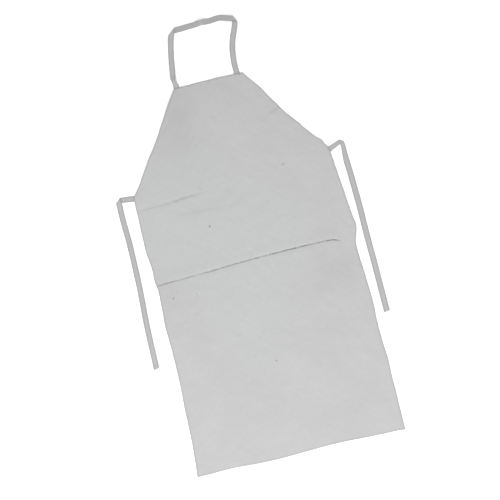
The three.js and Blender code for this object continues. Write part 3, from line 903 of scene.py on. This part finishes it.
def grid_piece(name, x, drop, height):
    """An open sheet through these points, for the simulation."""
    rows, columns = x.shape
    index = np.arange(rows * columns).reshape(rows, columns)
    faces = np.stack([index[:-1, :-1], index[1:, :-1], index[1:, 1:], index[:-1, 1:]], axis=-1)
    points = raised(np.stack([MIDDLE_X + x, BIB_EDGE - drop], axis=-1), height)
    mesh = bpy.data.meshes.new(name)
    mesh.from_pydata(points.reshape(-1, 3).tolist(), [], faces.reshape(-1, 4).tolist())
    return put(name, mesh)


SETTLE_ROWS, SETTLE_COLUMNS = 92, 50
SETTLE_FRAMES = 28
# The sheet starts this far above where it would lie, over a table a fifth wider than itself.
SETTLE_GAP = 2 * MM
TABLE_SHARE = 1.2


def settle(nominal, share):
    """How far each point of the sheet moves down as it settles on the table, by cloth simulation.

    A coarse sheet with the same waves and creases is let down on the table and the strap ends, and
    its movement is read off at the finer grid's rows and columns.
    """
    rows = np.linspace(0, MEAN_LENGTH, SETTLE_ROWS)
    columns = np.linspace(0, 1, SETTLE_COLUMNS)
    x, drop = sheet_plan(rows, columns)
    under = under_tails(x, drop)
    start = (relief(x, drop) + waves(x, drop)) * (1 - under) + POCKET_TOP * under
    sheet = grid_piece("settling_sheet", x, drop, start + SETTLE_GAP)
    cloth = sheet.modifiers.new("Settle", "CLOTH")
    cloth.settings.quality = 6
    cloth.settings.mass = 0.4
    cloth.settings.tension_stiffness = 60
    cloth.settings.compression_stiffness = 60
    cloth.settings.shear_stiffness = 40
    cloth.settings.bending_stiffness = 200
    cloth.collision_settings.distance_min = 1 * MM
    cloth.collision_settings.collision_quality = 3
    cloth.point_cache.frame_end = SETTLE_FRAMES
    table_x = x * TABLE_SHARE
    table = grid_piece("settling_table", table_x, drop, POCKET_TOP * under_tails(table_x, drop))
    table.modifiers.new("Collision", "COLLISION")
    table.collision.thickness_outer = 1 * MM
    for step in range(1, SETTLE_FRAMES + 1):
        bpy.context.scene.frame_set(step)
    seen = sheet.evaluated_get(bpy.context.evaluated_depsgraph_get()).to_mesh()
    heights = np.array([vertex.co.z for vertex in seen.vertices]).reshape(x.shape)
    for piece in (sheet, table):
        bpy.data.objects.remove(piece, do_unlink=True)
    bpy.context.scene.frame_set(1)
    moved = heights - SETTLE_GAP - start
    by_row = np.array([np.interp(nominal, rows, moved[:, k]) for k in range(len(columns))]).T
    return np.array([np.interp(share, columns, line) for line in by_row])


def spots(places, x, drop):
    """Soft spots, added up: 1 at the middle of a strong one."""
    total = 0
    for middle, width, low, depth, strength in places:
        total = total + strength * bell(x, middle, width) * bell(drop, low, depth)
    return total


def sheet_facts(x, drop):
    """What the materials read: the distance to an edge, the painted shade along its creases, its cool
    tint, and the painted shade of its soft darker patches.
    """
    # The bib's slanting sides are nearer than they are straight across.
    lean = np.where(drop < WAIST_DROP, 0.83, 1.0)
    side = np.minimum(x - x[:, :1], x[:, -1:] - x) * lean
    edge = np.minimum(side, np.minimum(drop - drop[:1], drop[-1:] - drop))
    # Painted shade: dark lines along the main, upper and short creases and one faint band, where they
    # fall into shadow.
    crease = 0.95 * main_mark(x) * bell(off_main(x, drop), 0.5 * MM, 1.6 * MM)
    crease = crease + 0.3 * upper_mark(x) * bell(drop - upper_crease(x), 0.4 * MM, 3.4 * MM)
    along, aside = from_short_crease(x, drop)
    crease = crease + 0.26 * bell(along, 0.02, 0.024) * bell(aside, 0, 2.6 * MM)
    faint = drop - 0.355 - 0.03 * (x + 0.105)
    crease = crease + 0.13 * bell(x, -0.105, 0.05) * bell(faint, 0, 3 * MM)
    cool = spots(COOL_SPOTS, x, drop) * (1.1 + 0.8 * ripple(x, drop, 6.6, 0.07))
    # Painted shade: soft darker patches where the sheet tilts away from the light.
    soiled = spots(PAINTED_SHADE_SPOTS, x, drop) * (1 + 0.6 * ripple(x, drop, 12.6, 0.05))
    return {"edge": edge, "crease": crease, "cool": np.clip(cool, 0, 1), "soiled": soiled}


def apron_sheet():
    dense = [(crease_drop, 9 * MM), (BIB_EDGE - FOLD_LINE, 9 * MM), (UPPER_CREASE_DROP, 4 * MM)]
    nominal = spaced(MEAN_LENGTH - CORNER_BEVEL, COARSE, FINE, dense)
    nominal = np.concatenate([[0], np.maximum(nominal, CORNER_BEVEL), [MEAN_LENGTH]])
    inner = np.linspace(0, 1, int(SHEET_WIDTH / COARSE))
    share = np.concatenate([[0], inner, [1]])
    x, drop = sheet_plan(nominal, share)
    x[:, 1] += CORNER_BEVEL
    x[:, -2] -= CORNER_BEVEL
    fade = np.linspace(0, 1, x.shape[1])[None] ** 3
    x = x + side_wobble(drop, 3.3) * fade + side_wobble(drop, 8.8) * fade[:, ::-1]
    plan = np.stack([MIDDLE_X + x, BIB_EDGE - drop], axis=-1)
    under = under_tails(x, drop)
    low = relief(x, drop) + waves(x, drop) + settle(nominal, share)
    low = np.maximum(low, 0) * (1 - under) + (POCKET_TOP + 0.05 * MM) * under
    groove = 0.5 * MM * main_mark(x) * bell(off_main(x, drop), 0.9 * MM, 1.1 * MM)
    groove = groove + 0.3 * MM * upper_mark(x) * bell(drop - upper_crease(x), 0.8 * MM, 1.4 * MM)
    high = low + SHEET_THICKNESS - groove
    for border in (np.s_[0, :], np.s_[-1, :], np.s_[:, 0], np.s_[:, -1]):
        high[border] -= CORNER_BEVEL
    facts = {"rest": raised(plan, 0), **sheet_facts(x, drop)}
    piece = slab("apron_sheet", raised(plan, high), raised(plan, low), sheet_leather, **facts)
    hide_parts("bib_panel", "skirt_panel")
    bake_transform(piece)


apron_sheet()

# ------------------------------------------------------------------ stitching

STITCH_LENGTH, STITCH_GAP, THREAD = 2.7 * MM, 0.6 * MM, 0.75 * MM
STITCH_BOX_LENGTH, STITCH_BOX_WIDTH = 20 * MM, 10 * MM
STITCH_RISE = 0.08 * MM


def thread_material():
    """Pale twisted thread."""
    n = Nodes("thread")
    where = n.add("TexCoord").outputs["Object"]
    twist = n.add("TexWave")
    twist.inputs["Scale"].default_value = 900
    twist.inputs["Distortion"].default_value = 1.5
    n.link(where, twist.inputs["Vector"])
    colour = n.mix(twist.outputs["Fac"], shade(190, 1), shade(206, 1))
    n.surface(colour=colour, roughness=0.7, normal=n.bump(twist.outputs["Fac"], 0.0001, 0.7))
    return n.material


def thread_piece(length, rings=6, around=8):
    """Points and faces of one stitch along X: a short thread, pinched where it enters the leather."""
    t = np.linspace(0, math.pi, rings + 2)[1:-1]
    turn = np.arange(around) * 2 * math.pi / around
    size = np.sin(t) ** 0.45 * THREAD / 2
    x = np.repeat(-np.cos(t) * length / 2, around)
    y = np.outer(size, np.cos(turn)).ravel()
    z = np.outer(size, np.sin(turn)).ravel()
    tips = [[-length / 2, 0, 0], [length / 2, 0, 0]]
    points = np.concatenate([np.stack([x, y, z], axis=1), tips])
    faces = []
    for i in range(rings - 1):
        for j in range(around):
            k = (j + 1) % around
            faces.append((i * around + j, (i + 1) * around + j, (i + 1) * around + k, i * around + k))
    for j in range(around):
        k = (j + 1) % around
        faces.append((len(points) - 2, j, k))
        faces.append((len(points) - 1, (rings - 1) * around + k, (rings - 1) * around + j))
    return points, faces


def stitch_places():
    """The middle, direction and length of each stitch around the box."""
    half_length, half_width = STITCH_BOX_LENGTH / 2, STITCH_BOX_WIDTH / 2
    corners = [(-half_length, -half_width), (half_length, -half_width)]
    corners += [(half_length, half_width), (-half_length, half_width)]
    places = []
    for start, end in zip(corners, corners[1:] + corners[:1]):
        start, end = np.array(start), np.array(end)
        run = np.linalg.norm(end - start)
        count = round(run / (STITCH_LENGTH + STITCH_GAP))
        for i in range(count):
            middle = start + (end - start) * (i + 0.5) / count
            places.append((middle, (end - start) / run, run / count - STITCH_GAP))
    return places


def stitch_box(place, direction, material):
    """The stitches of one sewn end, in front of the sheet and behind the strap."""
    low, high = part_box(f"{place}_stitching")
    centre = np.array([(low.x + high.x) / 2, (low.y + high.y) / 2])
    side = np.array([direction[1], -direction[0]])
    points, faces = [], []
    for z in (POCKET_TOP + SHEET_THICKNESS + STITCH_RISE, THREAD / 2):
        for middle, run, length in stitch_places():
            shape, quads = thread_piece(length)
            here = centre + middle[0] * direction + middle[1] * side
            along = run[0] * direction + run[1] * side
            beside = np.array([along[1], -along[0]])
            plan = here + shape[:, :1] * along + shape[:, 1:2] * beside
            base = sum(len(p) for p in points)
            points.append(np.concatenate([plan, z + shape[:, 2:]], axis=1))
            faces += [tuple(base + k for k in face) for face in quads]
    mesh = bpy.data.meshes.new(f"{place}_stitches")
    mesh.from_pydata(np.concatenate(points).tolist(), [], faces)
    mesh.validate()
    mesh.polygons.foreach_set("use_smooth", np.ones(len(mesh.polygons), bool))
    mesh.materials.append(material)
    piece = put(f"{place}_stitches", mesh)
    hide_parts(f"{place}_stitching")
    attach(piece, "bib")


thread = thread_material()
for place in ("bib_left", "bib_right"):
    stitch_box(place, -DOWN, thread)
for tie in ties:
    stitch_box(f"waist_{tie.side}", tie.outward, thread)

# ------------------------------------------------------------------ floor and light


def make_floor():
    bpy.ops.mesh.primitive_plane_add(size=14, location=(0, 0, -0.02 * MM))
    floor = bpy.context.object
    floor.name = "floor"
    n = Nodes("floor")
    n.surface(colour=(0.9, 0.9, 0.9, 1), roughness=0.9, specular=0.1)
    floor.data.materials.append(n.material)


def make_light():
    world = bpy.data.worlds.new("Studio")
    world.use_nodes = True
    background = world.node_tree.nodes["Background"]
    background.inputs["Color"].default_value = (1, 1, 1, 1)
    background.inputs["Strength"].default_value = 1.12
    bpy.context.scene.world = world
    data = bpy.data.lights.new("Softbox", "AREA")
    data.shape = "RECTANGLE"
    data.size, data.size_y = 2.4, 1.6
    data.energy = 52
    lamp = put("Softbox", data)
    lamp.location = (-0.4, -2.0, 2.3)
    aim = -np.array(lamp.location)
    lamp.rotation_euler = Vector(aim).to_track_quat("-Z", "Y").to_euler()


make_floor()
make_light()
bpy.context.scene.view_settings.view_transform = "Standard"
